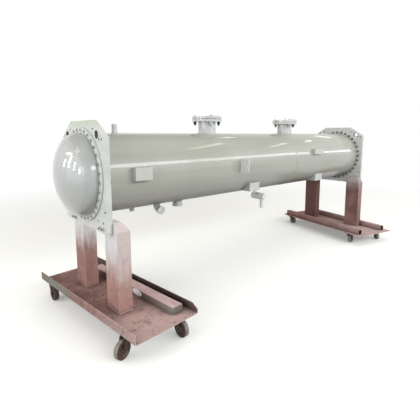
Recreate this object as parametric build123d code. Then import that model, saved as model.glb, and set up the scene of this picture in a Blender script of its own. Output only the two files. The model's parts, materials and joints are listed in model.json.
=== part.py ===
from build123d import *
import os
from math import sqrt

# A shell and tube heat exchanger on two wheeled dollies. Sizes are in millimetres.
# While pieces are made, X runs along the shell from the inner face of the left tube
# sheet, Y = 0 is the shell's middle plane and Z = 0 is the floor. At the end everything
# is moved so that the origin is the bottom centre of the whole.

# Shell
shell_diameter = 610.0
shell_wall = 10.0
shell_length = 3740.0
axis_height = 1122.0
weld_gap = 0.3

# Tube sheets
# Margins run from the bonnet's ring, insets from the sheet's sides, top and bottom.
sheet_thickness = 41.0
sheet_side_margin = 27.0
sheet_top_margin = 47.0
sheet_bottom_margin = 41.0
sheet_corner_across = 185.0
sheet_corner_down = 115.0
lifting_hole_diameter = 56.0
lifting_hole_side_inset = 105.0
lifting_hole_top_inset = 100.0
tapped_hole_diameter = 17.0
upper_hole_insets = ((166.0, 61.0), (68.0, 131.0), (31.0, 131.0))
lower_hole_insets = ((20.0, 155.0), (140.0, 77.0), (58.0, 74.0))

# Bonnets: a dished head with a bolting ring
ring_margin = 41.0
ring_thickness = 12.0
ring_chamfer = 2.0
head_wall = 9.0
head_skirt = 15.0
crown_radius = 465.0
knuckle_radius = 105.0

# Top nozzles with blind covers. Rises and reaches run from the shell's outer face.
nozzle_x = (1190.0, 2440.0)
nozzle_diameter = 168.3
nozzle_wall = 7.1
nozzle_rise = 134.0
flange_diameter = 285.0
flange_thickness = 24.0
cover_thickness = 22.0
raised_face_diameter = 216.0
raised_face_height = 1.6
bolt_circle = 240.0
bolt_hole_diameter = 22.0
bolt_count = 8
flange_edge = 1.5

# A small pin on each cover: how far it stands along the shell from the middle, its rise
cover_pins = ((43.0, 7.0), (19.0, 30.0))
cover_pin_diameter = 12.0

# Vent on top and plugged drain below, both short round fittings
vent_x = 224.0
vent_diameter = 42.0
vent_rise = 71.0
drain_plug_x = 354.0
drain_plug_diameter = 41.0
drain_plug_reach = 34.0
fitting_edge = 5.0

# Elbow drain
elbow_x = 598.0
elbow_diameter = 60.3
elbow_radius = 46.0
elbow_reach = 52.0
elbow_leg = 12.0
elbow_cap_diameter = 71.0
elbow_cap_length = 18.0

# Capped stub below the shell
stub_x = 824.0
stub_diameter = 88.9
stub_reach = 52.0
stub_cap_length = 22.0
stub_cap_step = 4.0

# Relief valve below the shell
valve_x = 1925.0
valve_inlet_diameter = 44.0
valve_body_diameter = 76.0
valve_body_length = 127.0
valve_body_back = 35.0
valve_reach = 87.0
valve_cap_flats = 60.0
valve_cap_length = 40.0
valve_outlet_diameter = 40.0
valve_outlet_length = 129.0

# Brackets on the front of the shell. The stand off is how far the face is in front of
# the shell's front, and the pads are set back and up from the shell's front and bottom.
bracket_plate = 6.0
nameplate_x = 268.0
nameplate_up = 10.0
nameplate_width = 141.0
nameplate_height = 94.0
nameplate_stand_off = 55.0
side_bracket_x = 2700.0
side_bracket_up = 90.0
side_bracket_width = 190.0
side_bracket_height = 60.0
side_bracket_stand_off = 30.0
pad_x = (1613.0, 2836.0)
pad_set_up = 73.0
pad_width = 152.0
pad_height = 86.0
pad_set_back = 49.0

# Lug plate across the shell, with a square of four holes
lug_x = 1348.0
lug_up = 5.0
lug_thickness = 8.0
lug_height = 120.0
lug_stand_off = 104.0
lug_hole_diameter = 14.0
lug_hole_spacing_y = 46.0
lug_hole_spacing_z = 60.0
lug_hole_inset = 24.0

# Posts between the tube sheets and the dollies, their middles set in from the sheet's sides
post_depth = 104.0
post_width = 184.0
post_wall = 6.0
post_lap = 80.0
post_bevel_run = 45.0
post_bevel_drop = 62.0
left_post_insets = (40.0, 133.0)
right_post_insets = (55.0, 40.0)

# Left dolly: a tray folded from plate
tray_centre = (101.0, -95.0)
tray_turn = 5.0
tray_length = 1400.0
tray_width = 524.0
tray_plate = 6.0
tray_rim = 67.0
tray_bend = 9.0
tray_corner_along = 50.0
tray_corner_down = 32.0

# Loose square bar in the tray
bar_width = 86.0
bar_height = 55.0
bar_length = 1100.0
bar_rim_gap = 51.0
bar_end_inset = 97.0
bar_edge = 4.0

# Right dolly: a flat plate with two open square tubes along it. Its middle is set in
# from the shell's right end.
deck_inset = 94.5
deck_out = -30.7
deck_turn = -13.3
deck_length = 1462.0
deck_width = 612.0
deck_plate = 6.0
deck_corner = 40.0
rail_size = 60.0
rail_wall = 4.0
rail_end_inset = 51.0
rail_side_inset = 87.0
rail_across = -5.0
rail_along = 16.0

# Casters: wheel diameter, tread width, height under the dolly, trail
left_wheel = 125.0
left_tread = 38.0
left_caster_height = 165.0
left_trail = 38.0
right_wheel = 100.0
right_tread = 32.0
right_caster_height = 128.0
right_trail = 32.0
hub_extra = 6.0
axle_diameter = 12.0
axle_play = 0.05
hub_side_play = 0.5
axle_head_diameter = 20.0
axle_head_length = 6.0
tread_depth = 22.0
wheel_edge = 4.5
web_inset = 9.0
hub_diameter = 34.0
fork_plate = 4.0
fork_top_width = 56.0
fork_eye = 30.0
race_diameter = 48.0
race_height = 8.0
race_gap = 0.3
kingpin_diameter = 12.0
kingpin_head_diameter = 22.0
kingpin_head_height = 4.0
caster_plate_length = 105.0
caster_plate_width = 85.0
caster_plate_thickness = 5.0

# The casters' corners (across, along), their insets from the dolly's side and end, and
# the direction in which each one trails
left_casters = (
    (-1, 1, 56.0, 85.0, 270.0),
    (-1, -1, 52.0, 180.0, 200.0),
    (1, -1, 87.0, 112.0, 272.0),
    (1, 1, 87.0, 115.0, 200.0),
)
right_casters = (
    (-1, -1, 43.0, 193.0, 0.0),
    (-1, 1, 43.0, 142.0, -50.0),
    (1, -1, 101.0, 150.0, -130.0),
    (1, 1, 101.0, 180.0, -60.0),
)
caster_names = ("a", "b", "c", "d")

# How far a cutting shape runs past what it cuts
cut_over = 1.0

shell_radius = shell_diameter / 2
ring_radius = shell_radius + ring_margin
sheet_width = 2 * (ring_radius + sheet_side_margin)
sheet_rise = ring_radius + sheet_top_margin
sheet_drop = ring_radius + sheet_bottom_margin
nozzle_height = shell_radius + nozzle_rise
post_top = axis_height - sheet_drop + post_lap
tray_size = (tray_width, tray_length)
deck_size = (deck_width, deck_length)
deck_centre = (shell_length - deck_inset, deck_out)
crown_rise = sqrt((crown_radius - knuckle_radius) ** 2 - (shell_radius - knuckle_radius) ** 2)
head_depth = crown_radius - crown_rise
skirt_end = ring_thickness + head_skirt
left_deck = left_caster_height + tray_plate
right_deck = right_caster_height + deck_plate
pieces = {}


def on_axis(piece, x=0.0):
    """Move a piece from the origin to the shell's axis."""
    return Pos(x, 0, axis_height) * piece


def shell_core(extra=0.0):
    """The shell's outer cylinder, a little larger, to trim what is welded to it."""
    core = Cylinder(shell_radius + extra, shell_length, rotation=(0, 90, 0))
    return Pos(shell_length / 2, 0, axis_height) * core


def upright(x, radius, low, high):
    """An upright round bar between two heights over the axis."""
    bar = Cylinder(radius, high - low, align=(Align.CENTER, Align.CENTER, Align.MIN))
    return Pos(x, 0, axis_height + low) * bar


def make_shell():
    inner = Cylinder(shell_radius - shell_wall, shell_length + 2 * cut_over, rotation=(0, 90, 0))
    shell = shell_core() - Pos(shell_length / 2, 0, axis_height) * inner
    for x in nozzle_x:
        shell -= upright(x, nozzle_diameter / 2 + weld_gap, 0, shell_diameter)
    return shell


def make_sheet():
    """A tube sheet standing in the YZ plane, its inner face at X = 0, growing along -X."""
    half = sheet_width / 2
    flat = half - sheet_corner_across
    shoulder = sheet_rise - sheet_corner_down
    outline = [
        (-half, -sheet_drop), (half, -sheet_drop), (half, shoulder),
        (flat, sheet_rise), (-flat, sheet_rise), (-half, shoulder),
    ]
    spots = [(half - inset, sheet_rise - down) for inset, down in upper_hole_insets]
    spots += [(half - inset, up - sheet_drop) for inset, up in lower_hole_insets]
    holes = [(side * out, up) for out, up in spots for side in (-1, 1)]
    lifting_out = half - lifting_hole_side_inset
    lifting = [(side * lifting_out, sheet_rise - lifting_hole_top_inset) for side in (-1, 1)]
    with BuildSketch(Plane.YZ) as face:
        with BuildLine():
            Polyline(*outline, close=True)
        make_face()
        with Locations(*holes):
            Circle(tapped_hole_diameter / 2, mode=Mode.SUBTRACT)
        with Locations(*lifting):
            Circle(lifting_hole_diameter / 2, mode=Mode.SUBTRACT)
    return extrude(face.sketch, amount=-sheet_thickness)


def dish_arcs(wall):
    """One face of the dished head's section, its knuckle and its crown, set in by a wall."""
    knuckle_middle = Vector(-skirt_end, shell_radius - knuckle_radius)
    crown_middle = Vector(crown_radius - head_depth - skirt_end, 0)
    towards = (knuckle_middle - crown_middle).normalized()
    meeting = crown_middle + towards * (crown_radius - wall)
    TangentArc((-skirt_end, shell_radius - wall), meeting, tangent=(-1, 0))
    TangentArc((wall - skirt_end - head_depth, 0), meeting, tangent=(0, 1))


def make_bonnet():
    """A hollow dished end with its bolting ring, the ring's face at X = 0, growing along -X."""
    inner_radius = shell_radius - head_wall
    with BuildSketch(Plane.XZ) as half:
        with BuildLine():
            Polyline(
                (-skirt_end, inner_radius), (0, inner_radius), (0, ring_radius - ring_chamfer),
                (-ring_chamfer, ring_radius), (ring_chamfer - ring_thickness, ring_radius),
                (-ring_thickness, ring_radius - ring_chamfer), (-ring_thickness, shell_radius),
                (-skirt_end, shell_radius),
            )
            dish_arcs(0)
            Line((-skirt_end - head_depth, 0), (head_wall - skirt_end - head_depth, 0))
            dish_arcs(head_wall)
        make_face()
    return revolve(half.sketch, axis=Axis.X)


def flange_holes(low, high):
    """The bolt holes of a nozzle flange between two heights over the axis."""
    hole = upright(0, bolt_hole_diameter / 2, low, high)
    steps = [360 / bolt_count * (index + 0.5) for index in range(bolt_count)]
    return [Rot(0, 0, step) * Pos(bolt_circle / 2, 0, 0) * hole for step in steps]


def make_nozzle():
    """A pipe set through the shell with a flat flange on top, at X = 0."""
    top = nozzle_height - raised_face_height
    nozzle = upright(0, nozzle_diameter / 2, 0, top)
    flange = upright(0, flange_diameter / 2, top - flange_thickness, top)
    nozzle += chamfer(flange.edges().filter_by(GeomType.CIRCLE), flange_edge)
    nozzle += upright(0, raised_face_diameter / 2, top, nozzle_height)
    nozzle -= upright(0, nozzle_diameter / 2 - nozzle_wall, -cut_over, nozzle_height + cut_over)
    inside = Cylinder(shell_radius - shell_wall, shell_diameter, rotation=(0, 90, 0))
    nozzle -= on_axis(inside)
    return nozzle - flange_holes(0, nozzle_height)


def make_cover(pin_along, pin_rise):
    """A blind cover that closes a nozzle, with a small pin on top, at X = 0."""
    low = nozzle_height + raised_face_height
    disc = upright(0, flange_diameter / 2, low, low + cover_thickness)
    cover = chamfer(disc.edges().filter_by(GeomType.CIRCLE), flange_edge)
    cover += upright(0, raised_face_diameter / 2, nozzle_height, low)
    cover += upright(pin_along, cover_pin_diameter / 2, low, low + cover_thickness + pin_rise)
    return cover - flange_holes(nozzle_height, low + cover_thickness + cut_over)


def make_vent():
    vent = upright(vent_x, vent_diameter / 2, 0, shell_radius + vent_rise)
    vent = fillet(vent.edges().sort_by(Axis.Z)[-1], fitting_edge)
    return vent - shell_core(weld_gap)


def make_drain_plug():
    plug = upright(drain_plug_x, drain_plug_diameter / 2, -shell_radius - drain_plug_reach, 0)
    plug = fillet(plug.edges().sort_by(Axis.Z)[0], fitting_edge)
    return plug - shell_core(weld_gap)


def make_elbow():
    """A pipe that leaves the shell downwards, bends to the front and ends in a cap."""
    elbow_drop = shell_radius + elbow_reach
    with BuildLine(Plane.YZ) as route:
        Line((0, -shell_radius + shell_wall), (0, elbow_radius - elbow_drop))
        RadiusArc((0, elbow_radius - elbow_drop), (-elbow_radius, -elbow_drop), elbow_radius)
        Line((-elbow_radius, -elbow_drop), (-elbow_radius - elbow_leg, -elbow_drop))
    section = Plane((0, 0, -shell_radius + shell_wall)) * Circle(elbow_diameter / 2)
    pipe = sweep(section, path=route.line)
    cap = Cylinder(elbow_cap_diameter / 2, elbow_cap_length, rotation=(90, 0, 0))
    cap = chamfer(cap.edges(), raised_face_height)
    cap_middle = -elbow_radius - elbow_leg - elbow_cap_length / 2
    elbow = pipe + Pos(0, cap_middle, -elbow_drop) * cap
    return on_axis(elbow, elbow_x) - shell_core(weld_gap)


def make_stub():
    """A short pipe under the shell that ends in a plain cap."""
    stub_drop = shell_radius + stub_reach
    stub = upright(stub_x, stub_diameter / 2, -stub_drop, 0)
    cap = upright(stub_x, stub_diameter / 2 + stub_cap_step, -stub_drop, stub_cap_length - stub_drop)
    stub += chamfer(cap.edges(), stub_cap_step / 2)
    return stub - shell_core(weld_gap)


def make_valve():
    """A relief valve lying under the shell, its cap to the front and its outlet down."""
    valve_drop = shell_radius + valve_reach
    inlet = Pos(0, 0, -valve_drop) * Cylinder(
        valve_inlet_diameter / 2, valve_drop, align=(Align.CENTER, Align.CENTER, Align.MIN))
    body = Cylinder(valve_body_diameter / 2, valve_body_length, rotation=(90, 0, 0))
    body = fillet(body.edges().filter_by(GeomType.CIRCLE), fitting_edge)
    body_front = valve_body_back - valve_body_length
    body = Pos(0, valve_body_back - valve_body_length / 2, -valve_drop) * body
    hexagon = RegularPolygon(valve_cap_flats / 2, 6, major_radius=False)
    cap = extrude(Plane((0, body_front, -valve_drop), z_dir=(0, -1, 0)) * hexagon, valve_cap_length)
    outlet = Pos(0, body_front, -valve_drop) * Cylinder(
        valve_outlet_diameter / 2, valve_outlet_length, align=(Align.CENTER, Align.CENTER, Align.MAX))
    return on_axis(inlet + body + cap + outlet, valve_x) - shell_core(weld_gap)


def make_bracket(x, up, width, height, reach):
    """A plate held off the shell's front by two side plates, folded from one strip."""
    outer = Box(width, reach, height, align=(Align.CENTER, Align.MAX, Align.CENTER))
    inner = Box(width - 2 * bracket_plate, reach, height, align=(Align.CENTER, Align.MAX, Align.CENTER))
    folds = outer.edges().filter_by(Axis.Z).sort_by(Axis.Y)[:2]
    strip = fillet(folds, bracket_plate / 2) - Pos(0, bracket_plate, 0) * inner
    strip = Pos(x, 0, axis_height + up) * strip - shell_core(weld_gap)
    return strip


def front_half(piece):
    """Keep what stands in front of the shell, towards -Y."""
    front = Box(shell_length, 2 * shell_diameter, 4 * shell_diameter,
                align=(Align.MIN, Align.MAX, Align.CENTER))
    return piece & Pos(0, 0, axis_height) * front


def make_lug():
    """A plate that stands across the shell, with a square of four holes."""
    lug_reach = shell_radius + lug_stand_off
    plate = Box(lug_thickness, lug_reach, lug_height, align=(Align.CENTER, Align.MAX, Align.CENTER))
    hole = Cylinder(lug_hole_diameter / 2, 2 * lug_thickness, rotation=(0, 90, 0))
    outer_row = lug_hole_inset - lug_reach
    for y in (outer_row, outer_row + lug_hole_spacing_y):
        for z in (-lug_hole_spacing_z / 2, lug_hole_spacing_z / 2):
            plate -= Pos(0, y, z) * hole
    return Pos(lug_x, 0, axis_height + lug_up) * plate - shell_core(weld_gap)


def post_form(inset, foot):
    """A box with a bevelled top on three sides, its flat side at X = 0, growing along +X."""
    depth = post_depth - inset
    half = post_width / 2 - inset
    top = post_top - inset
    with BuildSketch(Plane.XZ) as side:
        with BuildLine():
            Polyline((inset, foot), (depth, foot), (depth, top - post_bevel_drop),
                     (depth - post_bevel_run, top), (inset, top), close=True)
        make_face()
    with BuildSketch(Plane.YZ) as front:
        with BuildLine():
            Polyline((-half, foot), (half, foot), (half, top - post_bevel_drop),
                     (half - post_bevel_run, top), (post_bevel_run - half, top),
                     (-half, top - post_bevel_drop), close=True)
        make_face()
    return extrude(side.sketch, amount=post_width, both=True) & extrude(front.sketch, amount=post_depth)


def make_post(foot):
    """A post folded from plate and closed on top, standing on its foot height."""
    return post_form(0, foot) - post_form(post_wall, foot - post_wall)


def on_dolly(piece, centre, turn):
    """Move a piece from a dolly's own middle to where the dolly stands."""
    return Pos(centre[0], centre[1], 0) * Rot(0, 0, turn) * piece


def make_tray():
    """The left dolly's tray: a plate with both long sides turned up, one rim's corner cut off."""
    half = tray_width / 2
    low = left_caster_height
    outer = Rectangle(tray_width, tray_rim, align=(Align.CENTER, Align.MIN))
    outer = fillet(outer.vertices().sort_by(Axis.Y)[:2], tray_bend)
    inner = Rectangle(tray_width - 2 * tray_plate, tray_rim, align=(Align.CENTER, Align.MIN))
    inner = fillet(inner.vertices().sort_by(Axis.Y)[:2], tray_bend - tray_plate)
    section = outer - Pos(0, tray_plate) * inner
    tray = extrude(Plane.XZ * section, amount=tray_length / 2, both=True)
    end = -tray_length / 2
    with BuildSketch(Plane.YZ) as corner:
        with BuildLine():
            Polyline((end - cut_over, tray_rim + cut_over), (end + tray_corner_along, tray_rim + cut_over),
                     (end + tray_corner_along, tray_rim), (end, tray_rim - tray_corner_down),
                     (end - cut_over, tray_rim - tray_corner_down), close=True)
        make_face()
    return Pos(0, 0, low) * (tray - extrude(corner.sketch, amount=half + cut_over))


def make_bar():
    bar = Box(bar_width, bar_length, bar_height, align=(Align.CENTER, Align.CENTER, Align.MIN))
    bar = chamfer(bar.edges().filter_by(Axis.Y).group_by(Axis.Z)[-1], bar_edge)
    across = tray_width / 2 - tray_plate - bar_rim_gap - bar_width / 2
    along = (bar_length - tray_length) / 2 + bar_end_inset
    return Pos(across, along, left_deck) * bar


def make_deck():
    """The right dolly's plate, its two corners towards the shell cut off."""
    plate = Box(deck_width, deck_length, deck_plate, align=(Align.CENTER, Align.CENTER, Align.MIN))
    plate = chamfer(plate.edges().filter_by(Axis.Z).sort_by(Axis.X)[:2], deck_corner)
    return Pos(0, 0, right_caster_height) * plate


def make_rail(side):
    """A square tube lying along the right dolly, open at both ends."""
    outer = RectangleRounded(rail_size, rail_size, 2 * rail_wall)
    inner = RectangleRounded(rail_size - 2 * rail_wall, rail_size - 2 * rail_wall, rail_wall)
    rail = extrude(Plane.XZ * (outer - inner), amount=deck_length / 2 - rail_end_inset, both=True)
    across = rail_across + side * (deck_width / 2 - rail_side_inset)
    return Pos(across, rail_along, right_deck + rail_size / 2) * rail


def make_caster_plate(height):
    """The fixed part of a caster: top plate, race and kingpin, the swivel axis at X = Y = 0."""
    plate_low = height - caster_plate_thickness
    race_low = plate_low - race_height
    crown_low = race_low - race_gap - fork_plate
    plate = Box(caster_plate_width, caster_plate_length, caster_plate_thickness,
                align=(Align.CENTER, Align.CENTER, Align.MIN))
    plate = Pos(0, 0, plate_low) * chamfer(plate.edges().filter_by(Axis.Z), 2 * fork_plate)
    race = Pos(0, 0, race_low) * Cylinder(
        race_diameter / 2, race_height, align=(Align.CENTER, Align.CENTER, Align.MIN))
    pin_low = crown_low - race_gap
    pin = Pos(0, 0, pin_low) * Cylinder(
        kingpin_diameter / 2, race_low - pin_low, align=(Align.CENTER, Align.CENTER, Align.MIN))
    head = Pos(0, 0, pin_low - kingpin_head_height) * Cylinder(
        kingpin_head_diameter / 2, kingpin_head_height, align=(Align.CENTER, Align.CENTER, Align.MIN))
    return plate + race + pin + head


def make_fork(height, wheel, tread, trail):
    """The swivelling fork of a caster with its axle, trailing towards -X."""
    crown_high = height - caster_plate_thickness - race_height - race_gap
    leg_inner = (tread + hub_extra) / 2 + hub_side_play
    leg_outer = leg_inner + fork_plate
    crown = Pos(0, 0, crown_high - fork_plate) * Box(
        fork_top_width, 2 * leg_outer, fork_plate, align=(Align.CENTER, Align.CENTER, Align.MIN))
    with BuildSketch(Plane.XZ) as leg:
        with Locations((0, crown_high - fork_plate / 2)):
            Rectangle(fork_top_width, fork_plate)
        with Locations((-trail, wheel / 2)):
            Circle(fork_eye / 2)
        make_hull()
    plate = extrude(leg.sketch, amount=fork_plate)
    fork = crown + Pos(0, -leg_inner, 0) * plate + Pos(0, leg_outer, 0) * plate
    pin_hole = Pos(0, 0, crown_high) * Cylinder(kingpin_diameter / 2 + axle_play, 4 * fork_plate)
    axle = Cylinder(axle_diameter / 2, 2 * leg_outer, rotation=(90, 0, 0))
    head = RegularPolygon(axle_head_diameter / 2, 6)
    for side in (-1, 1):
        start = Plane((0, side * leg_outer, 0), z_dir=(0, side, 0))
        axle += extrude(start * head, axle_head_length)
    return fork - pin_hole + Pos(-trail, 0, wheel / 2) * axle


def make_wheel(wheel, tread, trail):
    """A caster wheel with recessed sides, on the fork's axle."""
    bore = axle_diameter / 2 + axle_play
    half_hub = (tread + hub_extra) / 2
    rim_inner = wheel / 2 - tread_depth
    web = tread / 2 - web_inset
    with BuildSketch(Plane.XY) as half:
        with BuildLine():
            Polyline((bore, 0), (bore, half_hub), (hub_diameter / 2, half_hub), (hub_diameter / 2, web),
                     (rim_inner, web), (rim_inner, tread / 2), (wheel / 2 - wheel_edge, tread / 2),
                     (wheel / 2, tread / 2 - wheel_edge), (wheel / 2, 0), close=True)
        make_face()
        mirror(about=Plane.XZ)
    return Pos(-trail, 0, wheel / 2) * revolve(half.sketch, axis=Axis.Y)


def add_casters(dolly, casters, centre, turn, deck, sizes):
    """Four casters under a dolly: their fixed plates in one node, each fork and wheel in its own."""
    height, wheel, tread, trail = sizes
    plates = []
    for name, (side, end, side_inset, end_inset, trail_turn) in zip(caster_names, casters):
        stand = Pos(side * (deck[0] / 2 - side_inset), end * (deck[1] / 2 - end_inset), 0)
        swivel = stand * Rot(0, 0, trail_turn - 180 - turn)
        plates.append(on_dolly(stand * make_caster_plate(height), centre, turn))
        fork = make_fork(height, wheel, tread, trail)
        pieces[f"{dolly}_fork_{name}"] = on_dolly(swivel * fork, centre, turn)
        pieces[f"{dolly}_wheel_{name}"] = on_dolly(swivel * make_wheel(wheel, tread, trail), centre, turn)
    pieces[f"{dolly}_caster_plates"] = Compound(children=plates)


def add_vessel():
    pieces["shell"] = make_shell()
    sheet = make_sheet()
    bonnet = make_bonnet()
    pieces["left_tube_sheet"] = on_axis(sheet)
    pieces["right_tube_sheet"] = on_axis(sheet, shell_length + sheet_thickness)
    pieces["left_bonnet"] = on_axis(bonnet, -sheet_thickness)
    pieces["right_bonnet"] = on_axis(Rot(0, 0, 180) * bonnet, shell_length + sheet_thickness)
    nozzle = make_nozzle()
    for side, x, pin in zip(("left", "right"), nozzle_x, cover_pins):
        pieces[f"{side}_nozzle"] = Pos(x, 0, 0) * nozzle
        pieces[f"{side}_nozzle_cover"] = Pos(x, 0, 0) * make_cover(*pin)
    pieces["vent_stub"] = make_vent()
    pieces["drain_plug"] = make_drain_plug()
    pieces["drain_elbow"] = make_elbow()
    pieces["capped_stub"] = make_stub()
    pieces["relief_valve"] = make_valve()


def add_brackets():
    pieces["nameplate_bracket"] = front_half(make_bracket(
        nameplate_x, nameplate_up, nameplate_width, nameplate_height,
        shell_radius + nameplate_stand_off))
    pieces["side_bracket"] = front_half(make_bracket(
        side_bracket_x, side_bracket_up, side_bracket_width, side_bracket_height,
        shell_radius + side_bracket_stand_off))
    for side, x in zip(("left", "right"), pad_x):
        pieces[f"{side}_pad_bracket"] = front_half(make_bracket(
            x, pad_set_up - shell_radius, pad_width, pad_height, shell_radius - pad_set_back))
    pieces["lug_plate"] = front_half(make_lug())


def add_left_dolly():
    post = make_post(left_deck)
    for place, side, inset in zip(("front", "back"), (-1, 1), left_post_insets):
        pieces[f"left_{place}_post"] = Pos(0, side * (sheet_width / 2 - inset), 0) * post
    pieces["left_tray"] = on_dolly(make_tray(), tray_centre, tray_turn)
    pieces["loose_bar"] = on_dolly(make_bar(), tray_centre, tray_turn)
    sizes = (left_caster_height, left_wheel, left_tread, left_trail)
    add_casters("left", left_casters, tray_centre, tray_turn, tray_size, sizes)


def add_right_dolly():
    post = Rot(0, 0, 180) * make_post(right_deck)
    for place, side, inset in zip(("front", "back"), (-1, 1), right_post_insets):
        pieces[f"right_{place}_post"] = Pos(shell_length, side * (sheet_width / 2 - inset), 0) * post
    pieces["right_deck"] = on_dolly(make_deck(), deck_centre, deck_turn)
    for place, side in (("front", -1), ("back", 1)):
        pieces[f"right_{place}_rail"] = on_dolly(make_rail(side), deck_centre, deck_turn)
    sizes = (right_caster_height, right_wheel, right_tread, right_trail)
    add_casters("right", right_casters, deck_centre, deck_turn, deck_size, sizes)


add_vessel()
add_brackets()
add_left_dolly()
add_right_dolly()

boxes = [piece.bounding_box(optimal=True) for piece in pieces.values()]
middle_x = (min(box.min.X for box in boxes) + max(box.max.X for box in boxes)) / 2
middle_y = (min(box.min.Y for box in boxes) + max(box.max.Y for box in boxes)) / 2
print("origin moved by", -middle_x, -middle_y, "floor at", min(box.min.Z for box in boxes))

os.makedirs("parts", exist_ok=True)
for name, piece in pieces.items():
    export_step(Pos(-middle_x, -middle_y, 0) * piece, f"parts/{name}.step")
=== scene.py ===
import json
from math import cos, pi, radians, sin, sqrt
import bpy
from mathutils import Matrix, Vector, noise


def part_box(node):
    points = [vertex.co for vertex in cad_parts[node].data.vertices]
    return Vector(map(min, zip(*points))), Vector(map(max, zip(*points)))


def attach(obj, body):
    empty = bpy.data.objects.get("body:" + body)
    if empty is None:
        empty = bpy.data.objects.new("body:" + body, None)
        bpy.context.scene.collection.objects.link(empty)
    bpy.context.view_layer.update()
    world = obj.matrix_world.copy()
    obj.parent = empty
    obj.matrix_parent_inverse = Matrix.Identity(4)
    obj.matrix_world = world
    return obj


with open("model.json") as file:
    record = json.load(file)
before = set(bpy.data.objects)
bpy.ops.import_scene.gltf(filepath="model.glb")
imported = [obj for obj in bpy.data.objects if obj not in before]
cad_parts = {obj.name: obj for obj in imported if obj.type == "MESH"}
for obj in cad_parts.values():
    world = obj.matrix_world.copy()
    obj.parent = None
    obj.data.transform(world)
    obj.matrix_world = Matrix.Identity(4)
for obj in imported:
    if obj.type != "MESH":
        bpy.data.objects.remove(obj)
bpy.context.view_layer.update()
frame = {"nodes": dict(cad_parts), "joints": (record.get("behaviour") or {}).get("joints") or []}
nodes = frame["nodes"]
rootBody = "exchanger"

# Places that the bolts, welds and paint are measured from
shellLow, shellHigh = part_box("shell")
axisY = (shellLow.y + shellHigh.y) / 2
axisZ = (shellLow.z + shellHigh.z) / 2
shellRadius = (shellHigh.z - shellLow.z) / 2
leftFace = shellLow.x
rightFace = shellHigh.x


# Small helpers for meshes: a mesh in the making is a pair of lists, its points and its faces

def newMesh():
    return [], []


def makeObject(name, parts, material, smooth=35.0):
    verts, faces = parts
    mesh = bpy.data.meshes.new(name)
    mesh.from_pydata([tuple(v) for v in verts], [], faces)
    mesh.validate()
    mesh.materials.append(material)
    obj = bpy.data.objects.new(name, mesh)
    bpy.context.scene.collection.objects.link(obj)
    mesh.polygons.foreach_set("use_smooth", [True] * len(mesh.polygons))
    mesh.set_sharp_from_angle(angle=radians(smooth))
    return obj


def addPiece(name, parts, material, smooth=35.0):
    piece = makeObject(name, parts, material, smooth)
    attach(piece, rootBody)


# profile is a list of (radius, height) along the place's own Z
def addTurned(parts, profile, place, pointCount):
    verts, faces = parts
    start = len(verts)
    for radius, height in profile:
        for point in range(pointCount):
            turn = 2 * pi * point / pointCount
            verts.append(place @ Vector((radius * cos(turn), radius * sin(turn), height)))
    for ring in range(len(profile) - 1):
        low = start + ring * pointCount
        high = low + pointCount
        for point in range(pointCount):
            nextPoint = (point + 1) % pointCount
            faces.append((low + point, low + nextPoint, high + nextPoint, high + point))
    last = start + (len(profile) - 1) * pointCount
    faces.append(tuple(start + point for point in reversed(range(pointCount))))
    faces.append(tuple(last + point for point in range(pointCount)))


def placeAlong(origin, axis, turn=0.0):
    rotation = Vector(axis).to_track_quat("Z", "Y").to_matrix().to_4x4()
    return Matrix.Translation(Vector(origin)) @ rotation @ Matrix.Rotation(turn, 4, "Z")


# How far the chamfers of a nut and the thread of a stud cut in, as shares of the full size
nutShape = {"edge": 0.93, "lowChamfer": 0.1, "highChamfer": 0.86}
threadShape = {"root": 0.9, "tip": 0.82, "tipLength": 0.4, "sides": 14}


def addNut(parts, place, flats, height):
    values = nutShape
    corner = flats / sqrt(3)
    edge = corner * values["edge"]
    profile = [(edge, 0), (corner, height * values["lowChamfer"]),
               (corner, height * values["highChamfer"]), (edge, height)]
    addTurned(parts, profile, place, 6)


# A threaded end: a plain part, then rings for the thread and a chamfer
def addStud(parts, place, radius, length, pitch, threads):
    values = threadShape
    profile = [(radius, 0)]
    first = length - threads * pitch
    for turn in range(threads):
        low = first + turn * pitch
        profile += [(radius, low), (radius * values["root"], low + pitch * 0.5)]
    profile += [(radius, length - pitch * values["tipLength"]), (radius * values["tip"], length)]
    addTurned(parts, profile, place, values["sides"])


# How fine a bead's ripples are, how much every second one differs, and when its path counts as upright
beadShape = {"sides": 8, "grain": 160.0, "alternate": 0.6, "upright": 0.9}


# A weld bead along a closed path, with the ripples that a welder leaves
def addBead(parts, points, radius, ripple):
    values = beadShape
    sides = values["sides"]
    verts, faces = parts
    start = len(verts)
    count = len(points)
    for index, point in enumerate(points):
        along = (points[(index + 1) % count] - points[index - 1]).normalized()
        upright = abs(along.z) > values["upright"]
        side = along.orthogonal() if upright else along.cross(Vector((0, 0, 1))).normalized()
        upward = along.cross(side).normalized()
        grain = noise.noise(point * values["grain"])
        wave = 1 + ripple * grain + ripple * values["alternate"] * cos(index * pi)
        for step in range(sides):
            turn = 2 * pi * step / sides
            offset = side * cos(turn) + upward * sin(turn)
            verts.append(point + offset * radius * wave)
    for ring in range(count):
        low = start + ring * sides
        high = start + ((ring + 1) % count) * sides
        for step in range(sides):
            nextStep = (step + 1) % sides
            faces.append((low + step, high + step, high + nextStep, low + nextStep))


# Small helpers for shader nodes

# left_front_post with Primer gives leftFrontPostPrimer
def finishName(node, ending):
    first, *others = node.split("_")
    return first + "".join(word.capitalize() for word in others) + ending


# A colour as it looks on screen, 0 to 255, turned into the linear values that shaders use
def rgb(red, green, blue):
    values = []
    for value in (red, green, blue):
        part = value / 255
        values.append(part / 12.92 if part <= 0.04045 else ((part + 0.055) / 1.055) ** 2.4)
    return (*values, 1.0)


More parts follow.
